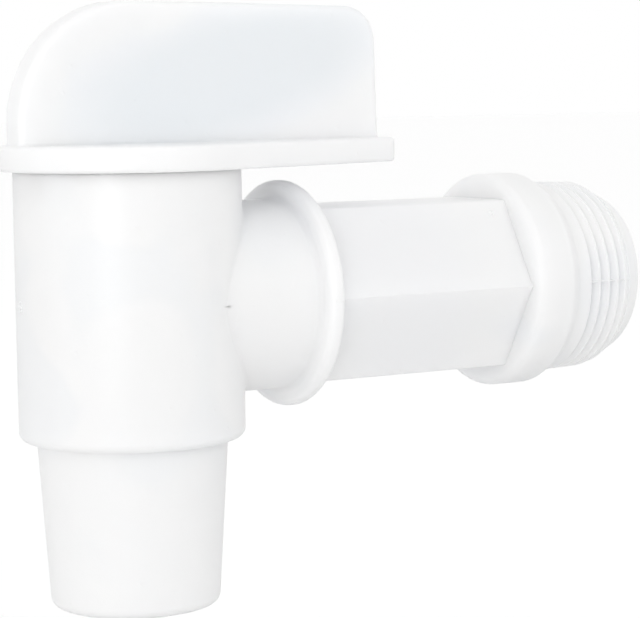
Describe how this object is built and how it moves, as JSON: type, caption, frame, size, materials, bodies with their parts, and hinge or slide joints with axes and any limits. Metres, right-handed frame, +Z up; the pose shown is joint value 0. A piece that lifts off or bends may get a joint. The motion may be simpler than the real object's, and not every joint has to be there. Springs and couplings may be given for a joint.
{
  "type": "drum faucet",
  "caption": "White moulded plastic drum faucet with a quarter-turn lever on a hollow plug, a tapered spout, a wrench hexagon and a male pipe-thread inlet.",
  "frame": {"origin": "on the inlet axis, in the plain land just before the thread, where the container's bung ends", "axes": "+X along the inlet into the container, +Z up along the barrel, spout pointing down"},
  "size_m": [0.0898, 0.033, 0.0768],
  "materials": {
    "body_plastic": "satin natural polyethylene",
    "lever_plastic": "satin natural polyethylene",
    "seal_rubber": "moulded nitrile rubber"
  },
  "bodies": {
    "body": {"faucet_body": "body_plastic"},
    "lever": {"lever_plug": "lever_plastic", "upper_o_ring": "seal_rubber", "lower_o_ring": "seal_rubber"}
  },
  "joints": [
    {"name": "lever_turn", "type": "hinge", "parent": "body", "child": "lever", "pos_m": [-0.0624, 0, 0], "axis": [0, 0, -1], "range_deg": [0, 90]}
  ]
}
